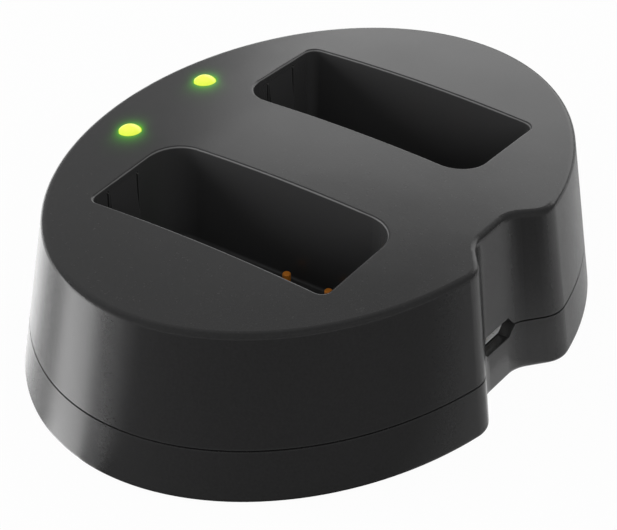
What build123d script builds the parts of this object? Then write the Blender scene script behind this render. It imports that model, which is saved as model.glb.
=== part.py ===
from build123d import *
import math
import os

# Two-bay desktop charger for camera batteries. Millimetres, +Z up, X across the two pockets,
# the cable notch at +Y, the charge lamps at -Y. The origin lies under the oval's centre, on the table.

# Body: a drafted oval with a crowned top
BODY_LENGTH = 88.0
BODY_WIDTH = 68.1
EDGE_HEIGHT = 22.6
CROWN_RISE = 1.8
WALL_DRAFT = 8.5
SEAM_HEIGHT = 7.1
WALL = 2.0
ROOF = 2.0
FLOOR = 2.0
EDGE_ROUND = 0.9
BASE_ROUND = 0.6
SEAM_GROOVE = 0.25
SEAM_GROOVE_DEPTH = 0.5
LIP_HEIGHT = 1.2
LIP_SHARE = 0.5
LIP_GAP = 0.1

# Notch for the cable's plug
NOTCH_DEPTH = 4.8
NOTCH_FLAT = 7.8
NOTCH_DRAFT = 6.6
NOTCH_FLANK = 38.5
NOTCH_INNER_ROUND = 4.7
NOTCH_OUTER_ROUND = 4.3
SHARPEST_ROUND = 0.5

# Battery pockets, mirrored about the middle
POCKET_WIDTH = 16.6
POCKET_LENGTH = 35.9
POCKET_SPACING = 32.0
POCKET_SHIFT = 0.3
POCKET_DEPTH = 14.2
POCKET_DRAFT = 1.0
POCKET_WALL = 1.5
POCKET_FLOOR = 1.6
POCKET_INNER_ROUND = 4.3
POCKET_OUTER_ROUND = 1.4
POCKET_FLOOR_ROUND = 0.4
RIM_ROUND = 0.3

# Spring finger moulded into each pocket's front wall
FINGER_WIDTH = 5.6
FINGER_OFFSETS = {1: 1.7, -1: -0.7}
FINGER_TOP = 1.25
FINGER_LENGTH = 10.5
FINGER_SLOT = 0.3
FINGER_FOOT_GAP = 0.7
RAMP_WIDTH = 5.1
RAMP_RISE = 0.8
RAMP_NOSE = 1.4
SLOT_END = 0.5

# Spring contacts: barrel, coil spring and plunger
CONTACT_INSET = 1.85
CONTACT_FIRST = 2.0
CONTACT_PITCH = 6.55
CONTACT_TRAVEL = 1.2
CONTACT_PROUD = 0.5
PLUNGER_WIDTH = 1.1
PLUNGER_EDGE = 0.15
COLLAR_WIDTH = 1.67
COLLAR_HEIGHT = 0.7
BARREL_WIDTH = 2.2
BARREL_FLANGE = 2.9
BARREL_FLANGE_HEIGHT = 0.4
BARREL_BASE = 0.4
CRIMP_HEIGHT = 0.35
RUNNING_GAP = 0.04
COLLAR_REST_GAP = 0.02
CONTACT_SKIN = 0.6
CONTACT_HOLE_GAP = 0.1
SPRING_WIRE = 0.2
SPRING_TURNS = 4.0
SPRING_GAP = 0.06

# Charge lamps
LED_SPACING = 16.2
LED_EDGE = 10.0
LED_WIDTH = 3.0
LED_LENGTH = 5.3
LED_DOME = 0.7
LED_FLANGE = 3.8
LED_FLANGE_HEIGHT = 1.0
LED_HOLE_GAP = 0.1
LED_COLLAR_WALL = 1.0
LEAD_PITCH = 2.54
LEAD_WIDTH = 0.5
LEAD_HOLE = 0.9
LEAD_TAIL = 0.8

# Connector in the notch, its middle on the seam
USB_WIDTH = 7.2
USB_FLAT_WIDTH = 5.1
USB_HEIGHT = 2.5
USB_LENGTH = 5.0
USB_SHEET = 0.3
USB_RECESS = 1.4
USB_CUT_GAP = 0.2
TONGUE_WIDTH = 4.6
TONGUE_THICK = 0.6
TONGUE_DROP = 0.25
TONGUE_LENGTH = 3.4
STRIP_COUNT = 5
STRIP_PITCH = 0.65
STRIP_WIDTH = 0.35
STRIP_THICK = 0.12
STRIP_SETBACK = 0.3

# Circuit board on posts of the cover
BOARD_THICK = 1.2
BOARD_GAP = 0.4
BOARD_HALF_LENGTH = 27.0
BOARD_CORNER = 2.0
POST_X = 23.0
POST_Y = 14.0
POST_WIDTH = 4.6
PEG_WIDTH = 2.0
PEG_STAND = 0.8
PEG_HOLE_GAP = 0.06
BOARD_SCREW = 1.8
BOARD_SCREW_HEAD = 3.6
BOARD_SCREW_HEAD_HEIGHT = 1.2
BOARD_SCREW_LENGTH = 2.6
BOARD_HOLE_GAP = 0.2

# Screws that close the shells
SCREW_X = 33.0
SCREW_Y = 12.0
SCREW_WIDTH = 2.5
SCREW_LENGTH = 9.0
SCREW_HEAD = 4.4
SCREW_HEAD_HEIGHT = 1.7
SCREW_SEAT = 3.0
SCREW_GAP = 0.2
PILOT_GAP = 0.03
PILOT_SPARE = 1.0
BOSS_WIDTH = 5.6
HEAD_GAP = 0.3
CROSS_WIDTH = 0.6
CROSS_SHARE = 0.6

# Rubber feet
FOOT_X = 22.0
FOOT_Y = 20.0
FOOT_WIDTH = 9.0
FOOT_SUNK = 0.7
FOOT_STAND = 0.5
FOOT_GAP = 0.1
FOOT_ROUND = 0.3

# Parts on the board
CHIP_LENGTH = 4.9
CHIP_WIDTH = 3.9
CHIP_HEIGHT = 1.4
CHIP_STAND = 0.15
CHIP_X = 17.0
CHIP_Y = -3.0
CHIP_LEADS = 4
CHIP_LEAD_PITCH = 1.27
CHIP_LEAD_WIDTH = 0.4
CHIP_LEAD_REACH = 1.0
CHIP_LEAD_THICK = 0.2
COIL_SIZE = 6.0
COIL_HEIGHT = 2.2
COIL_CORNER = 1.2
COIL_Y = -12.0
CAN_WIDTH = 6.3
CAN_HEIGHT = 7.7
CAN_BASE = 6.6
CAN_BASE_HEIGHT = 0.9
CAN_Y = -9.0
CHIP_CAP_LENGTH = 3.2
CHIP_CAP_WIDTH = 1.6
CHIP_CAP_HEIGHT = 1.4
CHIP_CAP_Y = 9.0
RESISTOR_LENGTH = 2.0
RESISTOR_WIDTH = 1.25
RESISTOR_HEIGHT = 0.5
RESISTOR_PITCH = 2.4
RESISTOR_COUNT = 5
RESISTOR_X = 3.4
RESISTOR_Y = 4.0
DIODE_LENGTH = 4.3
DIODE_WIDTH = 2.6
DIODE_HEIGHT = 2.1
DIODE_Y = 15.5
DIODE_X = 9.5

# Levels and places that follow from the sizes above
SHELL_BASE = FOOT_STAND
SEAM_Z = SHELL_BASE + SEAM_HEIGHT
SLOPE = math.tan(math.radians(WALL_DRAFT))
NOTCH_SLOPE = math.tan(math.radians(NOTCH_DRAFT))
FULL_HEIGHT = EDGE_HEIGHT + CROWN_RISE
POCKET_FLOOR_Z = SHELL_BASE + FULL_HEIGHT - POCKET_DEPTH
BOARD_TOP = SEAM_Z - USB_HEIGHT / 2
BOARD_BOTTOM = BOARD_TOP - BOARD_THICK
LED_Y = LED_EDGE - BODY_WIDTH / 2
SIDES = {"right": 1, "left": -1}


def oval_profile(height, inset=0.0):
    """The oval with its notch, as a face at a height above the shell's base, inset from the outer wall."""
    lean = SLOPE * height + inset
    a = BODY_LENGTH / 2 - lean
    b = BODY_WIDTH / 2 - lean
    turn = math.radians(NOTCH_FLANK)
    inner = NOTCH_INNER_ROUND + inset
    outer = max(NOTCH_OUTER_ROUND - inset, SHARPEST_ROUND)
    half_flat = NOTCH_FLAT / 2 + inset * math.tan(turn / 2)
    corner = Vector(half_flat, BODY_WIDTH / 2 - NOTCH_DEPTH - NOTCH_SLOPE * height - inset)
    into_body = Vector(math.sin(turn), -math.cos(turn))
    along = Vector(math.cos(turn), math.sin(turn))

    def on_oval(angle):
        """A point of the oval and the centre of a corner round that touches it there."""
        point = Vector(a * math.cos(angle), b * math.sin(angle))
        outward = Vector(b * math.cos(angle), a * math.sin(angle)).normalized()
        return point, point - outward * outer

    # The corner round touches both the oval and the flank: halve the angle range until it does.
    low, high = math.radians(45), math.radians(90)
    for _ in range(50):
        angle = (low + high) / 2
        if (on_oval(angle)[1] - corner).dot(into_body) > outer:
            low = angle
        else:
            high = angle
    touch, centre = on_oval(angle)
    leave = centre - into_body * outer
    crest = centre + (touch + leave - centre * 2).normalized() * outer
    run = inner * math.tan(turn / 2)
    flat_end = corner - Vector(run, 0)
    flank_end = corner + along * run
    bend = flat_end + Vector(math.sin(turn / 2), 1 - math.cos(turn / 2)) * inner

    def mirrored(point):
        return Vector(-point.X, point.Y)

    degrees = math.degrees(angle)
    edges = [
        EllipticalCenterArc((0, 0), a, b, start_angle=180 - degrees, arc_size=90 + degrees),
        EllipticalCenterArc((0, 0), a, b, start_angle=270, arc_size=90 + degrees),
        ThreePointArc(touch, crest, leave),
        Line(leave, flank_end),
        ThreePointArc(flank_end, bend, flat_end),
        Line(flat_end, mirrored(flat_end)),
        ThreePointArc(mirrored(flat_end), mirrored(bend), mirrored(flank_end)),
        Line(mirrored(flank_end), mirrored(leave)),
        ThreePointArc(mirrored(leave), mirrored(crest), mirrored(touch)),
    ]
    return Pos(0, 0, SHELL_BASE + height) * make_face(edges)


def drafted_oval(low, high, inset=0.0):
    """The drafted oval between two heights above the shell's base."""
    return loft([oval_profile(low, inset), oval_profile(high, inset)], ruled=True)


def crown_half_axes():
    """Half axes of the oval where the crown meets the wall."""
    lean = SLOPE * EDGE_HEIGHT
    return BODY_LENGTH / 2 - lean, BODY_WIDTH / 2 - lean


def crown_z(x, y):
    """Height of the crowned top over a point."""
    a, b = crown_half_axes()
    return SHELL_BASE + EDGE_HEIGHT + CROWN_RISE * (1 - (x / a) ** 2 - (y / b) ** 2)


def under_crown(drop=0.0):
    """Everything under the crowned top, lowered by drop: one patch, curved in X and in Y."""
    half_x, half_y = BODY_LENGTH / 2, BODY_WIDTH / 2
    a, b = crown_half_axes()
    sag_x = CROWN_RISE * (half_x / a) ** 2
    sag_y = CROWN_RISE * (half_y / b) ** 2
    crest = crown_z(0, 0) - drop
    steps = (-1, 0, 1)

    def pole(i, j):
        """A control point of the patch: its middle ones lie as far above the sag as the outer ones below."""
        return Vector(half_x * i, half_y * j, crest - sag_x * (2 * i * i - 1) - sag_y * (2 * j * j - 1))

    net = [[pole(i, j) for j in steps] for i in steps]
    return extrude(Face.make_bezier_surface(net), FULL_HEIGHT * 2, dir=(0, 0, -1))


def pocket_outline(side, z, grow=0.0):
    """A pocket's outline as a face: wide rounds towards the middle, tight ones outside."""
    half_x = POCKET_WIDTH / 2 + grow
    half_y = POCKET_LENGTH / 2 + grow
    sheet = Rectangle(half_x * 2, half_y * 2)
    wide = max(POCKET_INNER_ROUND + grow, SHARPEST_ROUND)
    tight = max(POCKET_OUTER_ROUND + grow, SHARPEST_ROUND)
    inner_corners = sheet.vertices().filter_by(lambda v: v.X * side < 0)
    sheet = fillet(inner_corners, wide)
    outer_corners = sheet.vertices().filter_by(lambda v: v.X * side > half_x - tight / 2)
    sheet = fillet(outer_corners, tight)
    return Pos(side * POCKET_SPACING / 2, POCKET_SHIFT, z) * sheet


def pocket_front_y(z):
    """Where a pocket's drafted front wall lies at a height."""
    rise = z - SHELL_BASE - FULL_HEIGHT
    return POCKET_SHIFT - POCKET_LENGTH / 2 - math.tan(math.radians(POCKET_DRAFT)) * rise


def pocket_space(side):
    """The space that a battery drops into."""
    top = SHELL_BASE + FULL_HEIGHT
    shrink = math.tan(math.radians(POCKET_DRAFT)) * POCKET_DEPTH
    faces = [pocket_outline(side, POCKET_FLOOR_Z, -shrink), pocket_outline(side, top)]
    space = loft(faces, ruled=True)
    space = fillet(space.faces().sort_by(Axis.Z)[0].edges(), POCKET_FLOOR_ROUND)
    return space + extrude(pocket_outline(side, top), EDGE_ROUND)


def pocket_block(side):
    """The pocket's walls and floor before the space is cut from them."""
    low = POCKET_FLOOR_Z - POCKET_FLOOR
    return extrude(pocket_outline(side, low, POCKET_WALL), FULL_HEIGHT)


def rod(x, y, low, high, width):
    """An upright cylinder between two levels."""
    return Pos(x, y, low) * Cylinder(width / 2, high - low, align=(Align.CENTER, Align.CENTER, Align.MIN))


def block(x, y, low, size_x, size_y, size_z):
    """An upright block standing on a level."""
    return Pos(x, y, low) * Box(size_x, size_y, size_z, align=(Align.CENTER, Align.CENTER, Align.MIN))


def four_places(x, y):
    """The four mirrored places of a rectangle about the middle."""
    return [(i * x, j * y) for i in (1, -1) for j in (1, -1)]


def contact_places(side):
    """The two contacts of a pocket. The left battery goes in turned half round."""
    x = side * (POCKET_SPACING / 2 - POCKET_WIDTH / 2 + CONTACT_INSET)
    return [(x, POCKET_SHIFT + side * (CONTACT_FIRST + CONTACT_PITCH * i)) for i in (0, 1)]


def finger_middle(side):
    return side * POCKET_SPACING / 2 + FINGER_OFFSETS[side]


def finger_levels():
    """Top and foot of a spring finger, under the crown at the pockets' front."""
    top = crown_z(POCKET_SPACING / 2, POCKET_SHIFT - POCKET_LENGTH / 2) - FINGER_TOP
    return top, top - FINGER_LENGTH


def finger_slots(side):
    """The slots that free a finger: one at each side, ending in a small hole, and one under its foot."""
    top, foot = finger_levels()
    x = finger_middle(side)
    y = pocket_front_y(foot) - POCKET_WALL / 2
    through = POCKET_WALL * 2
    cut = block(x, y, foot - FINGER_FOOT_GAP, FINGER_WIDTH + FINGER_SLOT * 2, through, FINGER_FOOT_GAP)
    for end in (1, -1):
        slot_x = x + end * (FINGER_WIDTH + FINGER_SLOT) / 2
        cut += block(slot_x, y, foot, FINGER_SLOT, through, FINGER_LENGTH)
        cut += Pos(slot_x, y, top) * Rot(90, 0, 0) * Cylinder(SLOT_END / 2, through)
    return cut


def finger_ramp(side):
    """The wedge on a finger that presses on the battery."""
    top, foot = finger_levels()
    crest = foot + RAMP_NOSE
    back = pocket_front_y(foot) - POCKET_WALL / 2
    outline = Polyline(
        (back, top),
        (pocket_front_y(top), top),
        (pocket_front_y(crest) + RAMP_RISE, crest),
        (pocket_front_y(foot), foot),
        (back, foot),
        close=True,
    )
    left = finger_middle(side) - RAMP_WIDTH / 2
    return Pos(left, 0, 0) * extrude(Plane.YZ * make_face(outline), RAMP_WIDTH)


def usb_outline(grow=0.0):
    """The connector's outline: flat above and below, widest at its middle."""
    top = USB_HEIGHT / 2 + grow
    lean = math.atan2((USB_WIDTH - USB_FLAT_WIDTH) / 2, USB_HEIGHT / 2)
    wide = USB_WIDTH / 2 + grow / math.cos(lean)
    flat = USB_FLAT_WIDTH / 2 + grow * math.tan((math.pi / 2 - lean) / 2)
    half = [(0, top), (flat, top), (wide, 0), (flat, -top), (0, -top)]
    other = [(-x, z) for x, z in reversed(half[1:-1])]
    return make_face(Polyline(*half, *other, close=True))


def usb_front():
    """Where the connector's mouth lies behind the notch's flat wall."""
    return BODY_WIDTH / 2 - NOTCH_DEPTH - NOTCH_SLOPE * SEAM_HEIGHT - USB_RECESS


def along_notch(outline, front, length):
    """An outline in X and Z made solid from front towards the middle of the body."""
    return Pos(0, front, SEAM_Z) * extrude(Plane.XZ * outline, length)


def usb_cut():
    """The opening in both shells round the connector."""
    reach = NOTCH_DEPTH + USB_RECESS
    return along_notch(usb_outline(USB_CUT_GAP), usb_front() + reach, reach + WALL)


def led_top(side):
    return crown_z(side * LED_SPACING / 2, LED_Y) + LED_DOME


def led_seat(side):
    """The level where a lamp's flange meets its collar."""
    return led_top(side) - LED_LENGTH + LED_FLANGE_HEIGHT


def make_top_housing():
    """Upper shell: drafted wall, crowned roof, both pockets, spring fingers, bosses and lamp collars."""
    over = FULL_HEIGHT + EDGE_ROUND
    edge = SEAM_HEIGHT + SEAM_GROOVE
    shell = drafted_oval(edge, over) & under_crown()
    shell += drafted_oval(SEAM_HEIGHT, edge, SEAM_GROOVE_DEPTH)
    shell = fillet(crown_face(shell).edges(), EDGE_ROUND)
    for side in SIDES.values():
        shell -= pocket_space(side)
    rims = [edge for wire in crown_face(shell).inner_wires() for edge in wire.edges()]
    shell = fillet(rims, RIM_ROUND)
    shell -= housing_hollow(over)
    for side in SIDES.values():
        shell -= finger_slots(side)
        shell += finger_ramp(side)
        for x, y in contact_places(side):
            shell -= rod(x, y, BOARD_TOP, POCKET_FLOOR_Z, PLUNGER_WIDTH + CONTACT_HOLE_GAP * 2)
            well = BARREL_WIDTH + CONTACT_HOLE_GAP * 2
            shell -= rod(x, y, BOARD_TOP, POCKET_FLOOR_Z - CONTACT_SKIN, well)
        shell -= rod(side * LED_SPACING / 2, LED_Y, SEAM_Z, led_top(side), LED_WIDTH + LED_HOLE_GAP * 2)
    pilot_top = SHELL_BASE + SCREW_SEAT + SCREW_LENGTH + PILOT_SPARE
    for x, y in four_places(SCREW_X, SCREW_Y):
        shell -= rod(x, y, SEAM_Z, pilot_top, SCREW_WIDTH + PILOT_GAP * 2)
    return shell - usb_cut()


def crown_face(shell):
    """The crowned top face of the upper shell."""
    return shell.faces().filter_by(GeomType.BEZIER).sort_by(Axis.Z)[-1]


def housing_hollow(over):
    """The room in the upper shell and the step for the lip, less pocket walls, collars and bosses."""
    low = SEAM_HEIGHT - LIP_HEIGHT
    hollow = drafted_oval(low, over, WALL) & under_crown(ROOF)
    hollow += drafted_oval(low, SEAM_HEIGHT + LIP_HEIGHT + LIP_GAP, WALL * LIP_SHARE)
    for side in SIDES.values():
        hollow -= pocket_block(side)
        collar = LED_WIDTH + (LED_HOLE_GAP + LED_COLLAR_WALL) * 2
        hollow -= rod(side * LED_SPACING / 2, LED_Y, led_seat(side), led_top(side), collar)
    for x, y in four_places(SCREW_X, SCREW_Y):
        hollow -= rod(x, y, SEAM_Z, SHELL_BASE + over, BOSS_WIDTH)
    return hollow


def make_bottom_cover():
    """Lower shell: drafted wall, lip inside the housing, board posts, screw towers and foot recesses."""
    shell = drafted_oval(0, SEAM_HEIGHT)
    shell = fillet(shell.faces().sort_by(Axis.Z)[0].edges(), BASE_ROUND)
    shell += drafted_oval(SEAM_HEIGHT - LIP_HEIGHT, SEAM_HEIGHT + LIP_HEIGHT, WALL * LIP_SHARE + LIP_GAP)
    floor_z = SHELL_BASE + FLOOR
    hollow = drafted_oval(FLOOR, SEAM_HEIGHT + LIP_HEIGHT, WALL)
    for x, y in four_places(SCREW_X, SCREW_Y):
        hollow -= rod(x, y, floor_z, SEAM_Z, BOSS_WIDTH)
    for x, y in four_places(POST_X, POST_Y):
        hollow -= rod(x, y, floor_z, BOARD_BOTTOM, POST_WIDTH)
    for x, y in peg_places():
        hollow -= rod(x, y, floor_z, BOARD_TOP + PEG_STAND, PEG_WIDTH)
    shell -= hollow
    seat = SHELL_BASE + SCREW_SEAT
    for x, y in four_places(SCREW_X, SCREW_Y):
        shell -= rod(x, y, 0, seat, SCREW_HEAD + HEAD_GAP * 2)
        shell -= rod(x, y, seat, SEAM_Z, SCREW_WIDTH + SCREW_GAP * 2)
        shell -= rod(x, y, SEAM_Z, SEAM_Z + LIP_HEIGHT, BOSS_WIDTH + LIP_GAP * 2)
    for x, y in board_screw_places():
        shell -= rod(x, y, BOARD_TOP - BOARD_SCREW_LENGTH, BOARD_TOP, BOARD_SCREW + PILOT_GAP * 2)
    for x, y in four_places(FOOT_X, FOOT_Y):
        shell -= rod(x, y, 0, SHELL_BASE + FOOT_SUNK, FOOT_WIDTH + FOOT_GAP * 2)
    return shell - usb_cut()


def peg_places():
    return [(POST_X, POST_Y), (-POST_X, -POST_Y)]


def board_screw_places():
    return [(-POST_X, POST_Y), (POST_X, -POST_Y)]


def make_circuit_board():
    """Board that follows the shell at front and back, with straight ends clear of the screw bosses."""
    level = BOARD_BOTTOM - SHELL_BASE
    sheet = oval_profile(level, WALL + BOARD_GAP + SLOPE * BOARD_THICK)
    ends = Pos(0, 0, BOARD_BOTTOM) * RectangleRounded(BOARD_HALF_LENGTH * 2, BODY_WIDTH, BOARD_CORNER)
    board = extrude(sheet & ends, BOARD_THICK)
    for x, y in peg_places():
        board -= rod(x, y, BOARD_BOTTOM, BOARD_TOP, PEG_WIDTH + PEG_HOLE_GAP * 2)
    for x, y in board_screw_places():
        board -= rod(x, y, BOARD_BOTTOM, BOARD_TOP, BOARD_SCREW + BOARD_HOLE_GAP * 2)
    for x, y in lead_places():
        board -= rod(x, y, BOARD_BOTTOM, BOARD_TOP, LEAD_HOLE)
    return board


def make_screw(x, y, seat, width, length, head, head_height, up):
    """A screw from its seat along up, with a cross recess in its head."""
    shank = Cylinder(width / 2, length, align=(Align.CENTER, Align.CENTER, Align.MIN))
    cap = Cylinder(head / 2, head_height, align=(Align.CENTER, Align.CENTER, Align.MAX))
    cap = chamfer(cap.faces().sort_by(Axis.Z)[0].edges(), head_height / 4)
    arm = head * CROSS_SHARE
    depth = head_height / 2
    for size_x, size_y in ((arm, CROSS_WIDTH), (CROSS_WIDTH, arm)):
        cap -= Pos(0, 0, -head_height) * Box(size_x, size_y, depth * 2)
    turn = Rot(0, 0, 0) if up > 0 else Rot(180, 0, 0)
    return Pos(x, y, seat) * turn * (shank + cap)


def make_housing_screws():
    seat = SHELL_BASE + SCREW_SEAT
    sizes = (SCREW_WIDTH, SCREW_LENGTH, SCREW_HEAD, SCREW_HEAD_HEIGHT)
    return [make_screw(x, y, seat, *sizes, 1) for x, y in four_places(SCREW_X, SCREW_Y)]


def make_board_screws():
    sizes = (BOARD_SCREW, BOARD_SCREW_LENGTH, BOARD_SCREW_HEAD, BOARD_SCREW_HEAD_HEIGHT)
    return [make_screw(x, y, BOARD_TOP, *sizes, -1) for x, y in board_screw_places()]


def make_rubber_foot(x, y):
    """A round pad sunk in the cover, its lower edge rounded."""
    pad = rod(x, y, 0, FOOT_STAND + FOOT_SUNK, FOOT_WIDTH)
    return fillet(pad.faces().sort_by(Axis.Z)[0].edges(), FOOT_ROUND)


def barrel_top():
    return POCKET_FLOOR_Z - CONTACT_SKIN - CONTACT_HOLE_GAP


def barrel_bore():
    return COLLAR_WIDTH + RUNNING_GAP * 2


def collar_top():
    return barrel_top() - CRIMP_HEIGHT - COLLAR_REST_GAP


def make_barrel(x, y):
    """Turned cup soldered to the board, its mouth closed in over the plunger's collar."""
    cup = rod(x, y, BOARD_TOP, barrel_top(), BARREL_WIDTH)
    cup += rod(x, y, BOARD_TOP, BOARD_TOP + BARREL_FLANGE_HEIGHT, BARREL_FLANGE)
    cup -= rod(x, y, BOARD_TOP + BARREL_BASE, barrel_top() - CRIMP_HEIGHT, barrel_bore())
    return cup - rod(x, y, BOARD_TOP + BARREL_BASE, barrel_top(), PLUNGER_WIDTH + RUNNING_GAP * 2)


def make_plunger(x, y):
    """Round contact pin with a bevelled flat top and a collar that stays in the barrel."""
    foot = collar_top() - COLLAR_HEIGHT
    pin = rod(x, y, foot, POCKET_FLOOR_Z + CONTACT_TRAVEL + CONTACT_PROUD, PLUNGER_WIDTH)
    pin = chamfer(pin.faces().sort_by(Axis.Z)[-1].edges(), PLUNGER_EDGE)
    return pin + rod(x, y, foot, collar_top(), COLLAR_WIDTH)


def make_spring(x, y):
    """Coil spring between the barrel's base and the plunger's collar."""
    low = BOARD_TOP + BARREL_BASE
    height = collar_top() - COLLAR_HEIGHT - low
    radius = barrel_bore() / 2 - SPRING_GAP - SPRING_WIRE / 2
    rise = height - SPRING_WIRE - COLLAR_REST_GAP * 2
    path = Helix(rise / SPRING_TURNS, rise, radius)
    wire = sweep(Plane(path @ 0, z_dir=path % 0) * Circle(SPRING_WIRE / 2), path)
    return Pos(x, y, low + SPRING_WIRE / 2 + COLLAR_REST_GAP) * wire


def make_lamp(side):
    """Lamp body: a low dome, a round stem and a flange under the collar."""
    x = side * LED_SPACING / 2
    shoulder = led_top(side) - LED_DOME
    base = led_top(side) - LED_LENGTH
    radius = ((LED_WIDTH / 2) ** 2 + LED_DOME**2) / (2 * LED_DOME)
    cap = Pos(x, LED_Y, led_top(side) - radius) * Sphere(radius)
    lamp = rod(x, LED_Y, base, led_top(side), LED_WIDTH) & (cap + rod(x, LED_Y, base, shoulder, LED_WIDTH))
    return lamp + rod(x, LED_Y, base, led_seat(side), LED_FLANGE)


def lead_places():
    return [(i * LED_SPACING / 2 + j * LEAD_PITCH / 2, LED_Y) for i in (1, -1) for j in (1, -1)]


def make_lamp_leads():
    """Square wire legs from the lamps down through the board."""
    foot = BOARD_BOTTOM - LEAD_TAIL
    rise = led_top(1) - LED_LENGTH - foot
    return [block(x, y, foot, LEAD_WIDTH, LEAD_WIDTH, rise) for x, y in lead_places()]


def make_usb_shell():
    """Folded steel shell of the connector, open at its mouth, closed behind."""
    tube = along_notch(usb_outline(), usb_front(), USB_LENGTH)
    return tube - along_notch(usb_outline(-USB_SHEET), usb_front(), USB_LENGTH - USB_SHEET)


def tongue_top():
    return SEAM_Z + USB_HEIGHT / 2 - USB_SHEET - TONGUE_DROP


def make_usb_tongue():
    """Plastic block in the connector's back, with the tongue that stands out of it."""
    room = USB_LENGTH - USB_SHEET
    back = usb_front() - room
    plug = along_notch(usb_outline(-USB_SHEET), back + room - TONGUE_LENGTH, room - TONGUE_LENGTH)
    low = tongue_top() - TONGUE_THICK
    y = usb_front() - TONGUE_LENGTH / 2 - STRIP_SETBACK
    return plug + block(0, y, low, TONGUE_WIDTH, TONGUE_LENGTH, TONGUE_THICK)


def make_usb_contacts():
    """Strips along the underside of the tongue."""
    low = tongue_top() - TONGUE_THICK - STRIP_THICK
    length = TONGUE_LENGTH - STRIP_SETBACK * 2
    y = usb_front() - TONGUE_LENGTH + length / 2
    first = -(STRIP_COUNT - 1) / 2 * STRIP_PITCH
    places = [first + i * STRIP_PITCH for i in range(STRIP_COUNT)]
    return [block(x, y, low, STRIP_WIDTH, length, STRIP_THICK) for x in places]


def on_board(x, y, size_x, size_y, size_z, stand=0.0):
    return block(x, y, BOARD_TOP + stand, size_x, size_y, size_z)


def make_chip_lead(side, row, place):
    """A bent leg from a chip's side down to the board."""
    thick = CHIP_LEAD_THICK
    high = CHIP_STAND + CHIP_HEIGHT / 2
    reach = CHIP_LEAD_REACH
    bend = reach / 2
    outline = Polyline(
        (0, high),
        (bend, high),
        (bend, thick),
        (reach, thick),
        (reach, 0),
        (bend - thick, 0),
        (bend - thick, high - thick),
        (0, high - thick),
        close=True,
    )
    leg = extrude(Plane.XZ * make_face(outline), CHIP_LEAD_WIDTH / 2, both=True)
    y = CHIP_Y + (place - (CHIP_LEADS - 1) / 2) * CHIP_LEAD_PITCH
    turn = Rot(0, 0, 0 if row > 0 else 180)
    return Pos(side * CHIP_X + row * CHIP_WIDTH / 2, y, BOARD_TOP) * turn * leg


def make_board_parts():
    """The parts soldered to the board, each kind as one group."""
    sides = SIDES.values()
    chip_size = (CHIP_WIDTH, CHIP_LENGTH, CHIP_HEIGHT)
    chips = [on_board(s * CHIP_X, CHIP_Y, *chip_size, CHIP_STAND) for s in sides]
    legs = [make_chip_lead(s, row, i) for s in sides for row in (1, -1) for i in range(CHIP_LEADS)]
    coil = extrude(RectangleRounded(COIL_SIZE, COIL_SIZE, COIL_CORNER), COIL_HEIGHT)
    coils = [Pos(s * CHIP_X, COIL_Y, BOARD_TOP) * coil for s in sides]
    can = on_board(0, CAN_Y, CAN_BASE, CAN_BASE, CAN_BASE_HEIGHT)
    can += rod(0, CAN_Y, BOARD_TOP, BOARD_TOP + CAN_HEIGHT, CAN_WIDTH)
    cap_size = (CHIP_CAP_LENGTH, CHIP_CAP_WIDTH, CHIP_CAP_HEIGHT)
    caps = [on_board(s * CHIP_X, CHIP_CAP_Y, *cap_size) for s in sides]
    resistor_size = (RESISTOR_LENGTH, RESISTOR_WIDTH, RESISTOR_HEIGHT)
    rows = [RESISTOR_Y + i * RESISTOR_PITCH for i in range(RESISTOR_COUNT)]
    resistors = [on_board(s * RESISTOR_X, y, *resistor_size) for s in sides for y in rows]
    diode_size = (DIODE_LENGTH, DIODE_WIDTH, DIODE_HEIGHT)
    diodes = [on_board(s * DIODE_X, DIODE_Y, *diode_size) for s in sides]
    return {
        "charge_chips": chips,
        "chip_leads": legs,
        "power_inductors": coils,
        "input_capacitor": [can],
        "chip_capacitors": caps,
        "resistors": resistors,
        "diodes": diodes,
    }


def make_nodes():
    """Every piece of the charger by name, each as a list of separate solids."""
    nodes = {
        "top_housing": [make_top_housing()],
        "bottom_cover": [make_bottom_cover()],
        "circuit_board": [make_circuit_board()],
        "housing_screws": make_housing_screws(),
        "board_screws": make_board_screws(),
        "rubber_feet": [make_rubber_foot(x, y) for x, y in four_places(FOOT_X, FOOT_Y)],
        "usb_shell": [make_usb_shell()],
        "usb_tongue": [make_usb_tongue()],
        "usb_contacts": make_usb_contacts(),
        "led_leads": make_lamp_leads(),
    }
    for name, side in SIDES.items():
        nodes[f"status_led_{name}"] = [make_lamp(side)]
        for number, (x, y) in enumerate(contact_places(side), 1):
            nodes[f"contact_barrel_{name}_{number}"] = [make_barrel(x, y)]
            nodes[f"contact_spring_{name}_{number}"] = [make_spring(x, y)]
            nodes[f"contact_plunger_{name}_{number}"] = [make_plunger(x, y)]
    nodes.update(make_board_parts())
    return nodes


os.makedirs("parts", exist_ok=True)
for node, pieces in make_nodes().items():
    solids = [solid for piece in pieces for solid in piece.solids()]
    whole = solids[0] if len(solids) == 1 else Compound(children=solids)
    export_step(whole, f"parts/{node}.step")
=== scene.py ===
"""Studio dressing of a two-bay desktop charger for camera batteries.

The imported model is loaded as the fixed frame. Each sub-assembly is a class that gives its pieces
their finishes, and the studio sets the floor, the lamps and the camera.
"""

import logging
import math
from dataclasses import dataclass
from enum import Enum
from typing import Union

import bmesh
import bpy
from mathutils import Matrix, Vector

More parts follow.
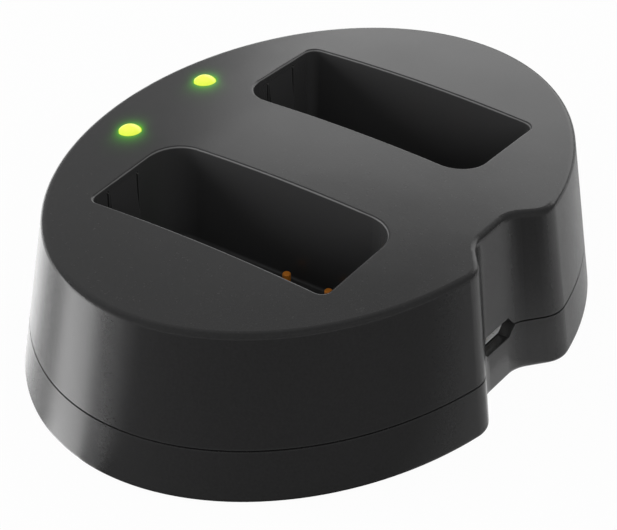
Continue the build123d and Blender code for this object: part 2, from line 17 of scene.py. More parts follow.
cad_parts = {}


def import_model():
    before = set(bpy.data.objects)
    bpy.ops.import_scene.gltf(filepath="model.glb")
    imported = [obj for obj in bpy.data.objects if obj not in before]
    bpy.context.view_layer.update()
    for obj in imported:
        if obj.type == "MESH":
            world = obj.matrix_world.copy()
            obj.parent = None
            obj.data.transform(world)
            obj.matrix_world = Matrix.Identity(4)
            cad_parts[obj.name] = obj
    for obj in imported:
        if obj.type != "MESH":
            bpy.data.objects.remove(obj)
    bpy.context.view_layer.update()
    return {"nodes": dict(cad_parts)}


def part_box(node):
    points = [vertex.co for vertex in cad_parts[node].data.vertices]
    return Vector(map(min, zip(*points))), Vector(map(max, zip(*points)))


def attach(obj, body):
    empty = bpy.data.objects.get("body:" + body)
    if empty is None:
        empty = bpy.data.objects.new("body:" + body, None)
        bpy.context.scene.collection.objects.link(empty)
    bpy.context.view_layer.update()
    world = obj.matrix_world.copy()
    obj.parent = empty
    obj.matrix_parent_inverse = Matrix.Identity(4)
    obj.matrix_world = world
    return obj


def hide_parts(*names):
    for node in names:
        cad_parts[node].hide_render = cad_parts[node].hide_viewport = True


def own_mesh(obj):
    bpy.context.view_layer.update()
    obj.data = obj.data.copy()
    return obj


LOG = logging.getLogger("charger")
MM = 0.001

Colour = tuple[float, float, float]
Range = tuple[float, float]
Nodes = dict[str, bpy.types.Object]
Sockets = dict[str, bpy.types.NodeSocket]
Input = Union[float, tuple[float, ...], bpy.types.NodeSocket]

WHITE: Colour = (1.0, 1.0, 1.0)
BLACK: Colour = (0.0, 0.0, 0.0)
MEASURES = ("DOT_PRODUCT", "LENGTH", "DISTANCE")


def opaque(colour: Colour) -> tuple[float, float, float, float]:
    """A colour with full alpha."""
    return (*colour, 1.0)


def middle(low: Vector, high: Vector) -> tuple[float, float]:
    """The middle of a box in X and Y."""
    return (low.x + high.x) / 2, (low.y + high.y) / 2


class Graph:
    """A node tree with short calls that add nodes and join them."""

    def __init__(self, tree: bpy.types.NodeTree) -> None:
        """Keeps the tree that the calls work on."""
        self.tree = tree

    def put(self, socket: bpy.types.NodeSocket, value: Input) -> None:
        """Links a socket to another one, or sets its own value.

        Args:
            socket: The input that takes the value.
            value: Another node's output, or a plain value.
        """
        if isinstance(value, bpy.types.NodeSocket):
            self.tree.links.new(value, socket)
        else:
            socket.default_value = value

    def add(
        self, kind: str, inputs: dict[str, Input] | None = None, **settings: object
    ) -> bpy.types.Node:
        """Adds a node.

        Args:
            kind: The node type's identifier.
            inputs: What goes into its inputs, by name.
            settings: Values of the node's own properties.

        Returns:
            The new node.
        """
        node = self.tree.nodes.new(kind)
        for name, value in settings.items():
            setattr(node, name, value)
        for name, value in (inputs or {}).items():
            self.put(node.inputs[name], value)
        return node

    def place(self) -> bpy.types.NodeSocket:
        """The object's own coordinates."""
        return self.add("ShaderNodeTexCoord").outputs["Object"]

    def plan(self) -> bpy.types.NodeSocket:
        """The object's own coordinates with their height left out."""
        return self.vector("MULTIPLY", self.place(), (1.0, 1.0, 0.0))

    def normal(self) -> bpy.types.NodeSocket:
        """The way that the surface faces."""
        return self.add("ShaderNodeNewGeometry").outputs["Normal"]

    def split(self, vector: Input) -> Sockets:
        """The three parts of a vector, by axis."""
        parts = self.add("ShaderNodeSeparateXYZ", {"Vector": vector}).outputs
        return {axis: parts[axis] for axis in "XYZ"}

    def vector(
        self, operation: str, first: Input, second: Input = (0.0, 0.0, 0.0)
    ) -> bpy.types.NodeSocket:
        """Adds an operation on one or two vectors.

        Args:
            operation: The operation's identifier.
            first: The first vector.
            second: The second vector, if the operation takes one.

        Returns:
            The result: a number from an operation that measures, and else a vector.
        """
        node = self.add("ShaderNodeVectorMath", operation=operation)
        self.put(node.inputs[0], first)
        self.put(node.inputs[1], second)
        return node.outputs["Value" if operation in MEASURES else "Vector"]

    def math(
        self, operation: str, first: Input, second: Input = 0.0, clamp: bool = False
    ) -> bpy.types.NodeSocket:
        """Adds an operation on one or two values.

        Args:
            operation: The operation's identifier.
            first: The first value.
            second: The second value, if the operation takes one.
            clamp: True to keep the result between 0 and 1.

        Returns:
            The result.
        """
        node = self.add("ShaderNodeMath", operation=operation, use_clamp=clamp)
        self.put(node.inputs[0], first)
        self.put(node.inputs[1], second)
        return node.outputs[0]

    def within(self, value: Input, centre: float, reach: float) -> bpy.types.NodeSocket:
        """Tells whether a value lies near another one.

        Args:
            value: What is asked about.
            centre: The value that it is held against.
            reach: How far off it may be.

        Returns:
            1 where it is near, and 0 elsewhere.
        """
        near = self.math("COMPARE", value, centre)
        near.node.inputs[2].default_value = reach
        return near

    def span(
        self, value: Input, given: Range, result: Range = (0.0, 1.0), kind: str = "LINEAR"
    ) -> bpy.types.NodeSocket:
        """Maps a range of values onto another one.

        Args:
            value: What is mapped.
            given: The values that give the two ends of the result.
            result: Those ends.
            kind: The identifier of the curve between them.

        Returns:
            The mapped value, kept between the two ends.
        """
        ends = dict(zip(("From Min", "From Max", "To Min", "To Max"), (*given, *result)))
        node = self.add("ShaderNodeMapRange", {"Value": value, **ends}, interpolation_type=kind)
        return node.outputs["Result"]

    def mix_shaders(self, share: Input, first: Input, second: Input) -> bpy.types.NodeSocket:
        """Mixes two shaders.

        Args:
            share: How much of the second shows, from 0 to 1.
            first: The shader at 0.
            second: The shader at 1.

        Returns:
            The mixed shader.
        """
        node = self.add("ShaderNodeMixShader")
        self.put(node.inputs[0], share)
        self.put(node.inputs[1], first)
        self.put(node.inputs[2], second)
        return node.outputs[0]

    def mix(self, share: Input, first: Input, second: Input) -> bpy.types.NodeSocket:
        """Mixes two colours.

        Args:
            share: How much of the second colour shows, from 0 to 1.
            first: The colour at 0.
            second: The colour at 1.

        Returns:
            The mixed colour.
        """
        # A mix node has a pair of inputs for each kind of value, and those for colours are 6 and 7.
        node = self.add("ShaderNodeMix", data_type="RGBA")
        self.put(node.inputs[0], share)
        self.put(node.inputs[6], first)
        self.put(node.inputs[7], second)
        return node.outputs[2]

    def noise(self, place: Input, scale: Input, detail: float) -> bpy.types.NodeSocket:
        """Adds a noise.

        Args:
            place: The coordinates it is read at.
            scale: Features to the metre.
            detail: How many finer layers it has.

        Returns:
            The noise's value.
        """
        inputs = {"Vector": place, "Scale": scale, "Detail": detail}
        return self.add("ShaderNodeTexNoise", inputs).outputs["Fac"]

    def effect(self, group: bpy.types.NodeTree, inputs: dict[str, Input]) -> bpy.types.Node:
        """Places a shared effect's node group with its own values, by name."""
        return self.add("ShaderNodeGroup", inputs, node_tree=group)


class Effects:
    """Surface effects that several finishes share, each a node group that is built once."""

    pit_heights: Range = (0.05, 0.5)
    cloud_tones: Range = (0.3, 0.7)
    cloud_share: float = 0.7
    edge_turns: Range = (0.99, 0.75)
    rub_scale: float = 900.0
    patch_tones: Range = (0.35, 0.7)
    speck_scale: float = 2600.0
    speck_tones: Range = (0.68, 0.78)
    dust_slopes: Range = (0.6, 0.95)
    wave_length: float = 0.314
    ring_waver: float = 0.6
    stain_scale: float = 1500.0

    def __init__(self) -> None:
        """Builds the groups."""
        self.grain = self._grain()
        self.wear = self._wear()
        self.haze = self._haze()
        self.turning = self._turning()

    @staticmethod
    def _open(
        name: str, inputs: dict[str, float], outputs: tuple[str, ...]
    ) -> tuple[Graph, Sockets, Sockets]:
        """Starts a group.

        Args:
            name: The group's name.
            inputs: Its inputs with their usual values.
            outputs: The names of its outputs.

        Returns:
            The group's graph, the sockets that its inputs come from and those that its outputs go to.
        """
        tree = bpy.data.node_groups.new(name, "ShaderNodeTree")
        for label, value in inputs.items():
            made = tree.interface.new_socket(name=label, in_out="INPUT", socket_type="NodeSocketFloat")
            made.default_value = value
        for label in outputs:
            tree.interface.new_socket(name=label, in_out="OUTPUT", socket_type="NodeSocketFloat")
        graph = Graph(tree)
        given = graph.add("NodeGroupInput").outputs
        taken = graph.add("NodeGroupOutput").inputs
        return graph, {key: given[key] for key in inputs}, {key: taken[key] for key in outputs}

    def _grain(self) -> bpy.types.NodeTree:
        """The fine pitted texture that a spark-eroded mould leaves.

        Returns:
            The group.
        """
        graph, given, taken = self._open("Moulded grain", {"Grain Size": 0.25 * MM}, ("Height", "Tone"))
        place = graph.place()
        fine = graph.math("DIVIDE", 1.0, given["Grain Size"])
        pits = graph.add("ShaderNodeTexVoronoi", {"Vector": place, "Scale": fine}, feature="SMOOTH_F1")
        cloud = graph.noise(place, graph.math("MULTIPLY", fine, self.cloud_share), 3.0)
        height = graph.math("MULTIPLY", pits.outputs["Distance"], cloud)
        graph.put(taken["Height"], graph.span(height, self.pit_heights))
        graph.put(taken["Tone"], graph.span(cloud, self.cloud_tones))
        return graph.tree

    def _wear(self) -> bpy.types.NodeTree:
        """A mask along edges that handling has polished, broken up here and there.

        Returns:
            The group.
        """
        graph, given, taken = self._open("Worn edges", {"Reach": 0.3 * MM, "Breakup": 0.4}, ("Mask",))
        rounded = graph.add("ShaderNodeBevel", {"Radius": given["Reach"]}, samples=3).outputs["Normal"]
        edge = graph.span(graph.vector("DOT_PRODUCT", rounded, graph.normal()), self.edge_turns)
        cloud = graph.noise(graph.place(), self.rub_scale, 3.0)
        gaps = graph.math("MULTIPLY", cloud, given["Breakup"])
        graph.put(taken["Mask"], graph.math("SUBTRACT", edge, gaps, clamp=True))
        return graph.tree

    def _haze(self) -> bpy.types.NodeTree:
        """Faint patches from handling, and a little dust on what faces up.

        Returns:
            The group.
        """
        graph, given, taken = self._open("Handling haze", {"Patch Size": 12 * MM}, ("Mask", "Dust"))
        place = graph.place()
        broad = graph.noise(place, graph.math("DIVIDE", 1.0, given["Patch Size"]), 4.0)
        graph.put(taken["Mask"], graph.span(broad, self.patch_tones))
        upward = graph.span(graph.split(graph.normal())["Z"], self.dust_slopes)
        specks = graph.span(graph.noise(place, self.speck_scale, 1.0), self.speck_tones)
        graph.put(taken["Dust"], graph.math("MULTIPLY", specks, upward))
        return graph.tree

    def _turning(self) -> bpy.types.NodeTree:
        """Fine rings that turning or drawing leaves on metal.

        Returns:
            The group.
        """
        graph, given, taken = self._open("Turned rings", {"Pitch": 0.06 * MM}, ("Height", "Tone"))
        place = graph.place()
        scale = graph.math("DIVIDE", self.wave_length, given["Pitch"])
        inputs = {"Vector": place, "Scale": scale, "Distortion": self.ring_waver}
        rings = graph.add("ShaderNodeTexWave", inputs, bands_direction="Z")
        graph.put(taken["Height"], rings.outputs["Fac"])
        stain = graph.noise(place, self.stain_scale, 3.0)
        graph.put(taken["Tone"], graph.span(stain, self.cloud_tones))
        return graph.tree


def start_graph(block: bpy.types.Material | bpy.types.World) -> Graph:
    """Empties the nodes of a material or a world.

    Args:
        block: The material or world.

    Returns:
        Its graph.
    """
    block.use_nodes = True
    block.node_tree.nodes.clear()
    return Graph(block.node_tree)


def start_material(name: str) -> tuple[bpy.types.Material, Graph, bpy.types.Node]:
    """Makes an empty material with its shader.

    Args:
        name: The material's name.

    Returns:
        The material, its graph and its shader.
    """
    material = bpy.data.materials.new(name)
    graph = start_graph(material)
    shader = graph.add("ShaderNodeBsdfPrincipled")
    graph.add("ShaderNodeOutputMaterial", {"Surface": shader.outputs["BSDF"]})
    return material, graph, shader


def add_bump(
    graph: Graph, shader: bpy.types.Node, height: bpy.types.NodeSocket, depth: float
) -> None:
    """Gives a shader a bumpy surface.

    Args:
        graph: The material's graph.
        shader: The shader that takes the normal.
        height: The surface's height, from 0 to 1.
        depth: How deep that is, in metres.
    """
    bump = graph.add("ShaderNodeBump", {"Height": height, "Distance": depth, "Strength": 1.0})
    graph.put(shader.inputs["Normal"], bump.outputs["Normal"])


@dataclass(frozen=True)
class PlasticFinish:
    """Moulded plastic, rubber or resin with a fine grain."""

    name: str
    colour: Colour
    worn: Colour
    roughness: float
    specular: float = 0.5
    grain_size: float = 0.25 * MM
    grain_depth: float = 0.004 * MM
    wear_reach: float = 0.3 * MM
    wear_share: float = 0.3
    dust_share: float = 0.03
    wear_breakup: float = 0.4
    polish: float = 0.08
    dust: Colour = (0.5, 0.5, 0.48)
    shade: float = 0.86
    patch_size: float = 14 * MM
    roughness_swing: float = 0.03

    def build(self, effects: Effects) -> bpy.types.Material:
        """Builds the material.

        Args:
            effects: The shared effects.

        Returns:
            The material.
        """
        material, graph, shader = start_material(self.name)
        self.weave(graph, shader, effects)
        return material

    def weave(self, graph: Graph, shader: bpy.types.Node, effects: Effects) -> None:
        """Sets colour, roughness and grain on the shader.

        Args:
            graph: The material's graph.
            shader: Its shader.
            effects: The shared effects.
        """
        grain = graph.effect(effects.grain, {"Grain Size": self.grain_size}).outputs
        rubbing = {"Reach": self.wear_reach, "Breakup": self.wear_breakup}
        wear = graph.effect(effects.wear, rubbing).outputs
        haze = graph.effect(effects.haze, {"Patch Size": self.patch_size}).outputs
        tone = self.ground(graph, grain["Tone"])
        specks = graph.math("MULTIPLY", haze["Dust"], self.dust_share)
        dusty = graph.mix(specks, tone, opaque(self.dust))
        bared = graph.math("MULTIPLY", wear["Mask"], self.wear_share)
        graph.put(shader.inputs["Base Color"], graph.mix(bared, dusty, opaque(self.worn)))
        swing = (self.roughness - self.roughness_swing, self.roughness + self.roughness_swing)
        soft = graph.span(haze["Mask"], (0.0, 1.0), swing)
        smooth = graph.math("MULTIPLY", wear["Mask"], self.polish)
        graph.put(shader.inputs["Roughness"], graph.math("SUBTRACT", soft, smooth, clamp=True))
        shader.inputs["Specular IOR Level"].default_value = self.specular
        add_bump(graph, shader, grain["Height"], self.grain_depth)

    def ground(self, graph: Graph, tone: bpy.types.NodeSocket) -> bpy.types.NodeSocket:
        """The plastic's own colour, before dust and wear.

        Args:
            graph: The material's graph.
            tone: The grain's tone, from 0 to 1.

        Returns:
            The colour.
        """
        dark = tuple(self.shade * part for part in self.colour)
        return graph.mix(tone, opaque(dark), opaque(self.colour))


@dataclass(frozen=True)
class HousingPlastic(PlasticFinish):
    """Moulded plastic with painted light: paler pockets where light falls into them, a painted highlight
    on their rims and a painted pool of lamp light round each lamp.
    """

    pocket_places: tuple[tuple[float, float], ...] = ()
    pocket_half: tuple[float, float] = (8.8 * MM, 18.4 * MM)
    # Painted light: the pockets' walls and floors are painted in this paler colour, standing in for
    # light that falls into them.
    pocket_painted_light_colour: Colour = (0.03, 0.03, 0.0304)
    # Painted highlight: the pockets' tilted rims take this pale colour in place of the light that their
    # fillets reflect.
    rim_painted_highlight_colour: Colour = (0.13, 0.13, 0.13)
    roof_low: float = 16 * MM
    roof_slopes: Range = (0.3, 0.9)
    rim_starts: Range = (0.25, 0.4)
    rim_ends: Range = (0.85, 0.65)
    lamps: tuple[tuple[float, float], ...] = ()
    # These fields shape a painted pool of lamp light, given as emission on the plastic round each lamp.
    lamp_radius: float = 1.5 * MM
    painted_glow_way: tuple[float, float, float] = (0.82, 0.57, 0.0)
    fade_across: float = 0.36 * MM
    fade_along: float = 0.55 * MM
    fade_ahead: float = 0.12 * MM
    painted_lamp_glow: Colour = (0.05, 0.36, 0.0)

    def weave(self, graph: Graph, shader: bpy.types.Node, effects: Effects) -> None:
        """Adds a painted pool of lamp light round each lamp to the plain plastic, as emission.

        Args:
            graph: The material's graph.
            shader: Its shader.
            effects: The shared effects.
        """
        super().weave(graph, shader, effects)
        place = graph.plan()
        light: Input = 0.0
        for x, y in self.lamps:
            away = graph.vector("SUBTRACT", place, (x, y, 0.0))
            light = graph.math("ADD", self.painted_lamp_pool(graph, away), light)
        # Painted light: emission on the plastic round each lamp stands in for the lamp's light falling
        # on it.
        painted_lamp_glow = graph.mix(light, opaque(BLACK), opaque(self.painted_lamp_glow))
        graph.put(shader.inputs["Emission Color"], painted_lamp_glow)
        shader.inputs["Emission Strength"].default_value = 1.0

    def painted_lamp_pool(self, graph: Graph, away: bpy.types.NodeSocket) -> bpy.types.NodeSocket:
        """How strong the painted pool of a lamp's light on the plastic is, which reaches further one way
        than across it.

        Args:
            graph: The material's graph.
            away: The way from the lamp's middle.

        Returns:
            The share, which is 1 at the lamp's edge.
        """
        length = graph.vector("LENGTH", away)
        turn = graph.math("DIVIDE", graph.vector("DOT_PRODUCT", away, self.painted_glow_way), length)
        along = graph.math("MULTIPLY", graph.math("MULTIPLY", turn, turn), self.fade_along)
        skew = graph.math("MULTIPLY", turn, self.fade_ahead)
        fade = graph.math("ADD", graph.math("ADD", along, skew), self.fade_across)
        past = graph.math("DIVIDE", graph.math("SUBTRACT", self.lamp_radius, length), fade)
        return graph.math("MINIMUM", graph.math("EXPONENT", past), 1.0)

    def ground(self, graph: Graph, tone: bpy.types.NodeSocket) -> bpy.types.NodeSocket:
        """The plastic's own colour, with painted light on the pockets' walls and floors and a painted
        highlight on their rims.

        Args:
            graph: The material's graph.
            tone: The grain's tone, from 0 to 1.

        Returns:
            The colour.
        """
        place = graph.split(graph.place())
        slope = graph.split(graph.normal())["Z"]
        upper = graph.math("GREATER_THAN", place["Z"], self.roof_low)
        roof = graph.math("MULTIPLY", graph.span(slope, self.roof_slopes), upper)
        starts, ends = (graph.span(slope, part) for part in (self.rim_starts, self.rim_ends))
        tilted = graph.math("MULTIPLY", starts, ends)
        half_x, half_y = self.pocket_half
        inside: Input = 0.0
        for middle_x, middle_y in self.pocket_places:
            across = graph.within(place["X"], middle_x, half_x)
            along = graph.within(place["Y"], middle_y, half_y)
            inside = graph.math("ADD", graph.math("MULTIPLY", across, along), inside)
        share = graph.math("MULTIPLY", inside, graph.math("SUBTRACT", 1.0, roof))
        # Painted light: inside the pockets, the walls and floors below the roof are painted paler where
        # light falls in.
        pale = graph.mix(share, super().ground(graph, tone), opaque(self.pocket_painted_light_colour))
        # Painted highlight: the pockets' tilted rims are painted pale.
        rim = graph.math("MULTIPLY", graph.math("MULTIPLY", tilted, upper), inside)
        return graph.mix(rim, pale, opaque(self.rim_painted_highlight_colour))


@dataclass(frozen=True)
class MetalFinish:
    """Plated, drawn or turned metal."""

    name: str
    colour: Colour
    tarnish: Colour
    roughness: float
    ring_pitch: float = 0.06 * MM
    ring_depth: float = 0.001 * MM
    tarnish_share: float = 0.35
    metallic: float = 1.0
    wear_reach: float = 0.15 * MM
    wear_breakup: float = 0.2
    wear_share: float = 0.3
    roughness_swing: Range = (-0.04, 0.06)

    def build(self, effects: Effects) -> bpy.types.Material:
        """Builds the material.

        Args:
            effects: The shared effects.

        Returns:
            The material.
        """
        material, graph, shader = start_material(self.name)
        rings = graph.effect(effects.turning, {"Pitch": self.ring_pitch}).outputs
        rubbing = {"Reach": self.wear_reach, "Breakup": self.wear_breakup}
        rubbed = graph.effect(effects.wear, rubbing).outputs["Mask"]
        stain = graph.math("MULTIPLY", rings["Tone"], self.tarnish_share)
        clean = graph.math("MULTIPLY", rubbed, self.wear_share)
        left = graph.math("SUBTRACT", stain, clean, clamp=True)
        plating = graph.mix(left, opaque(self.colour), opaque(self.tarnish))
        graph.put(shader.inputs["Base Color"], plating)
        smoothest, roughest = (self.roughness + part for part in self.roughness_swing)
        rough = graph.span(rings["Tone"], (0.0, 1.0), (smoothest, roughest))
        graph.put(shader.inputs["Roughness"], rough)
        shader.inputs["Metallic"].default_value = self.metallic
        add_bump(graph, shader, rings["Height"], self.ring_depth)
        return material


@dataclass(frozen=True)
class LampFinish:
    """The milky resin of a lamp that is switched on."""

    name: str
    centre: tuple[float, float]
    radius: float = 1.5 * MM
    core: Colour = (0.86, 0.92, 0.1)
    rim: Colour = (0.72, 0.86, 0.07)
    resin: tuple[Colour, Colour] = ((0.06, 0.1, 0.012), (0.08, 0.12, 0.016))
    strength: float = 1.0
    core_share: float = 0.5
    grain_size: float = 0.4 * MM
    roughness: Range = (0.22, 0.3)

    def build(self, effects: Effects) -> bpy.types.Material:
        """Builds the material.

        Args:
            effects: The shared effects.

        Returns:
            The material.
        """
        material, graph, shader = start_material(self.name)
        away = graph.vector("DISTANCE", graph.plan(), (*self.centre, 0.0))
        edge = graph.span(away, (self.core_share * self.radius, self.radius))
        light = graph.mix(edge, opaque(self.core), opaque(self.rim))
        graph.put(shader.inputs["Emission Color"], light)
        shader.inputs["Emission Strength"].default_value = self.strength
        tone = graph.effect(effects.grain, {"Grain Size": self.grain_size}).outputs["Tone"]
        dark, pale = self.resin
        graph.put(shader.inputs["Base Color"], graph.mix(tone, opaque(dark), opaque(pale)))
        graph.put(shader.inputs["Roughness"], graph.span(tone, (0.0, 1.0), self.roughness))
        return material


@dataclass(frozen=True)
class BoardFinish:
    """Solder mask over copper tracks."""

    name: str
    mask: Colour = (0.012, 0.09, 0.035)
    track: Colour = (0.03, 0.16, 0.06)
    bare: Colour = (0.35, 0.3, 0.14)
    bare_share: float = 0.5
    cell_scale: float = 160.0
    line_pitch: float = 0.12
    line_edges: Range = (0.05, 0.07)
    line_depth: float = 0.02 * MM
    wear_reach: float = 0.2 * MM
    wear_breakup: float = 0.3
    roughness: Range = (0.32, 0.24)

    def build(self, effects: Effects) -> bpy.types.Material:
        """Builds the material.

        Args:
            effects: The shared effects.

        Returns:
            The material.
        """
        material, graph, shader = start_material(self.name)
        inputs = {"Vector": graph.place(), "Scale": self.cell_scale}
        cells = graph.add("ShaderNodeTexVoronoi", inputs, distance="MANHATTAN")
        lines = graph.math("PINGPONG", cells.outputs["Distance"], self.line_pitch)
        tracks = graph.span(lines, self.line_edges)
        rubbing = {"Reach": self.wear_reach, "Breakup": self.wear_breakup}
        rubbed = graph.effect(effects.wear, rubbing).outputs["Mask"]
        green = graph.mix(tracks, opaque(self.mask), opaque(self.track))
        cut = graph.math("MULTIPLY", rubbed, self.bare_share)
        graph.put(shader.inputs["Base Color"], graph.mix(cut, green, opaque(self.bare)))
        graph.put(shader.inputs["Roughness"], graph.span(tracks, (0.0, 1.0), self.roughness))
        add_bump(graph, shader, tracks, self.line_depth)
        return material


class Side(Enum):
    """The two pockets and the lamps beside them, right being towards +X."""

    RIGHT = "right"
    LEFT = "left"


class Assembly:
    """A sub-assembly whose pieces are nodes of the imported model."""

    def dress(self, nodes: Nodes, effects: Effects) -> list[bpy.types.Object]:
        """Gives each piece its finish.

        Args:
            nodes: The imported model's pieces, by name.
            effects: The shared effects.

        Returns:
            The pieces that were dressed.
        """
        raise NotImplementedError

    @staticmethod
    def paint(
        nodes: Nodes, names: list[str], material: bpy.types.Material, slot: str
    ) -> list[bpy.types.Object]:
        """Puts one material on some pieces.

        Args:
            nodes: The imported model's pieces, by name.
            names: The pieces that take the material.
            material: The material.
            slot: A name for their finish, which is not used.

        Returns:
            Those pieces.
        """
        pieces = [nodes[name] for name in names]
        for piece in pieces:
            piece.data.materials.clear()
            piece.data.materials.append(material)
        return pieces


SHELL_BLACK: dict[str, Colour | float] = {
    "colour": (0.021, 0.021, 0.0213),
    "worn": (0.09, 0.09, 0.09),
    "roughness": 0.235,
}


@dataclass
class Shells(Assembly):
    """The upper housing and the cover under it."""

    cover_finish: PlasticFinish = PlasticFinish("shell_black", **SHELL_BLACK)
    lamp_nodes: tuple[str, ...] = ("status_led_right", "status_led_left")
    pocket_places: tuple[tuple[float, float], ...] = ((16 * MM, 0.3 * MM), (-16 * MM, 0.3 * MM))

    def dress(self, nodes: Nodes, effects: Effects) -> list[bpy.types.Object]:
        """Dresses both shells.

        Args:
            nodes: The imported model's pieces, by name.
            effects: The shared effects.

        Returns:
            The two shells.
        """
        housing = HousingPlastic(
            "shell_black_housing",
            pocket_places=self.pocket_places,
            lamps=self.lamp_places(),
            **SHELL_BLACK,
        )
        done = self.paint(nodes, ["top_housing"], housing.build(effects), "black_shell")
        cover = self.cover_finish.build(effects)
        return done + self.paint(nodes, ["bottom_cover"], cover, "black_shell")

    def lamp_places(self) -> tuple[tuple[float, float], ...]:
        """Where the lamps come through the housing, in X and Y."""
        return tuple(middle(*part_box(name)) for name in self.lamp_nodes)


@dataclass
class Lamps(Assembly):
    """The two charge lamps with their legs."""

    leads: MetalFinish = MetalFinish("lamp_leads_tinned", (0.7, 0.7, 0.72), (0.4, 0.4, 0.42), 0.3)

    def dress(self, nodes: Nodes, effects: Effects) -> list[bpy.types.Object]:
        """Dresses the lamps and their legs.

        Args:
            nodes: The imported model's pieces, by name.
            effects: The shared effects.

        Returns:
            The dressed pieces.
        """
        done: list[bpy.types.Object] = []
        for side in Side:
            name = f"status_led_{side.value}"
            finish = LampFinish(f"lamp_lit_{side.value}", middle(*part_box(name)))
            done += self.paint(nodes, [name], finish.build(effects), "lamp_lit")
        return done + self.paint(nodes, ["led_leads"], self.leads.build(effects), "tinned_wire")


@dataclass
class SpringContacts(Assembly):
    """The four spring contacts: plunger, coil spring and barrel."""

    travel: float = 1.2 * MM
    pin: MetalFinish = MetalFinish(
        "contact_copper", (0.9, 0.3, 0.03), (0.62, 0.2, 0.02), 0.4, metallic=0.35
    )
    barrel: MetalFinish = MetalFinish("barrel_gold", (0.83, 0.62, 0.26), (0.55, 0.38, 0.14), 0.3)
    coil: MetalFinish = MetalFinish("spring_wire", (0.62, 0.62, 0.64), (0.35, 0.34, 0.34), 0.26)

    def dress(self, nodes: Nodes, effects: Effects) -> list[bpy.types.Object]:
        """Dresses each contact's three pieces.

        Args:
            nodes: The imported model's pieces, by name.
            effects: The shared effects.

        Returns:
            The dressed pieces.
        """
        places = [f"{side.value}_{number}" for side in Side for number in (1, 2)]
        kinds = (("plunger", self.pin, "contact_copper"), ("barrel", self.barrel, "contact_gold"))
        done: list[bpy.types.Object] = []
        for kind, finish, slot in kinds:
            names = [f"contact_{kind}_{place}" for place in places]
            done += self.paint(nodes, names, finish.build(effects), slot)
        wire = self.coil.build(effects)
        return done + [self.wind_coil(nodes, place, wire) for place in places]

    def wind_coil(self, nodes: Nodes, place: str, wire: bpy.types.Material) -> bpy.types.Object:
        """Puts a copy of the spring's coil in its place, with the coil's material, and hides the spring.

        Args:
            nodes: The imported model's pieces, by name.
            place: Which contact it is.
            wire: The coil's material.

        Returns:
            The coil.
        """
        spring = nodes[f"contact_spring_{place}"]
        coil = bpy.data.objects.new(f"coil_{place}", spring.data.copy())
        bpy.context.scene.collection.objects.link(coil)
        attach(coil, "charger")
        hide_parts(spring.name)
        coil.data.materials.clear()
        coil.data.materials.append(wire)
        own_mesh(coil)
        return coil


@dataclass
class PowerInlet(Assembly):
    """The connector in the notch."""

    shell: MetalFinish = MetalFinish(
        "connector_steel", (0.85, 0.85, 0.86), (0.6, 0.6, 0.62), 0.3, metallic=0.5
    )
    strips: MetalFinish = MetalFinish("strip_gold", (0.86, 0.64, 0.28), (0.6, 0.42, 0.16), 0.28)
    tongue: PlasticFinish = PlasticFinish("tongue_pale", (0.88, 0.88, 0.86), (0.9, 0.9, 0.88), 0.4)

    def dress(self, nodes: Nodes, effects: Effects) -> list[bpy.types.Object]:
        """Dresses the connector.

        Args:
            nodes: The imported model's pieces, by name.
            effects: The shared effects.

        Returns:
            The dressed pieces.
        """
        done = self.paint(nodes, ["usb_shell"], self.shell.build(effects), "connector_steel")
        done += self.paint(nodes, ["usb_tongue"], self.tongue.build(effects), "pale_plastic")
        return done + self.paint(nodes, ["usb_contacts"], self.strips.build(effects), "contact_gold")


@dataclass
class Electronics(Assembly):
    """The circuit board and the parts soldered to it."""

    board: BoardFinish = BoardFinish("board_green")
    resin: PlasticFinish = PlasticFinish("chip_resin", (0.02, 0.02, 0.021), (0.07, 0.07, 0.07), 0.55)
    ferrite: PlasticFinish = PlasticFinish("coil_ferrite", (0.11, 0.11, 0.12), (0.25, 0.25, 0.25), 0.6)
    ceramic: PlasticFinish = PlasticFinish("ceramic_tan", (0.5, 0.38, 0.25), (0.7, 0.6, 0.45), 0.5)
    leads: MetalFinish = MetalFinish("chip_leads_tinned", (0.7, 0.7, 0.72), (0.45, 0.45, 0.46), 0.3)
    can: MetalFinish = MetalFinish("can_aluminium", (0.78, 0.79, 0.8), (0.6, 0.6, 0.62), 0.32)

    def dress(self, nodes: Nodes, effects: Effects) -> list[bpy.types.Object]:
        """Dresses the board and its parts.

        Args:
            nodes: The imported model's pieces, by name.
            effects: The shared effects.

        Returns:
            The dressed pieces.
        """
        done = self.paint(nodes, ["circuit_board"], self.board.build(effects), "board_green")
        dark = ["charge_chips", "resistors", "diodes"]
        done += self.paint(nodes, dark, self.resin.build(effects), "black_plastic")
        done += self.paint(nodes, ["power_inductors"], self.ferrite.build(effects), "ferrite_grey")
        done += self.paint(nodes, ["chip_capacitors"], self.ceramic.build(effects), "ceramic_tan")
        done += self.paint(nodes, ["chip_leads"], self.leads.build(effects), "tinned_wire")
        return done + self.paint(nodes, ["input_capacitor"], self.can.build(effects), "can_aluminium")


@dataclass
class Underside(Assembly):
    """The screws that close the shells, those of the board, and the feet."""

    steel: MetalFinish = MetalFinish(
        "screw_steel", (0.33, 0.33, 0.34), (0.16, 0.16, 0.16), 0.36, ring_pitch=0.3 * MM
    )
    rubber: PlasticFinish = PlasticFinish(
        "foot_rubber",
        (0.024, 0.024, 0.024),
        (0.08, 0.08, 0.08),
        0.78,
        specular=0.3,
        grain_size=0.35 * MM,
        grain_depth=0.012 * MM,
        dust_share=0.12,
    )

    def dress(self, nodes: Nodes, effects: Effects) -> list[bpy.types.Object]:
        """Dresses the screws and the feet.

        Args:
            nodes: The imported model's pieces, by name.
            effects: The shared effects.

        Returns:
            The dressed pieces.
        """
        screws = ["housing_screws", "board_screws"]
        done = self.paint(nodes, screws, self.steel.build(effects), "screw_steel")
        return done + self.paint(nodes, ["rubber_feet"], self.rubber.build(effects), "foot_rubber")


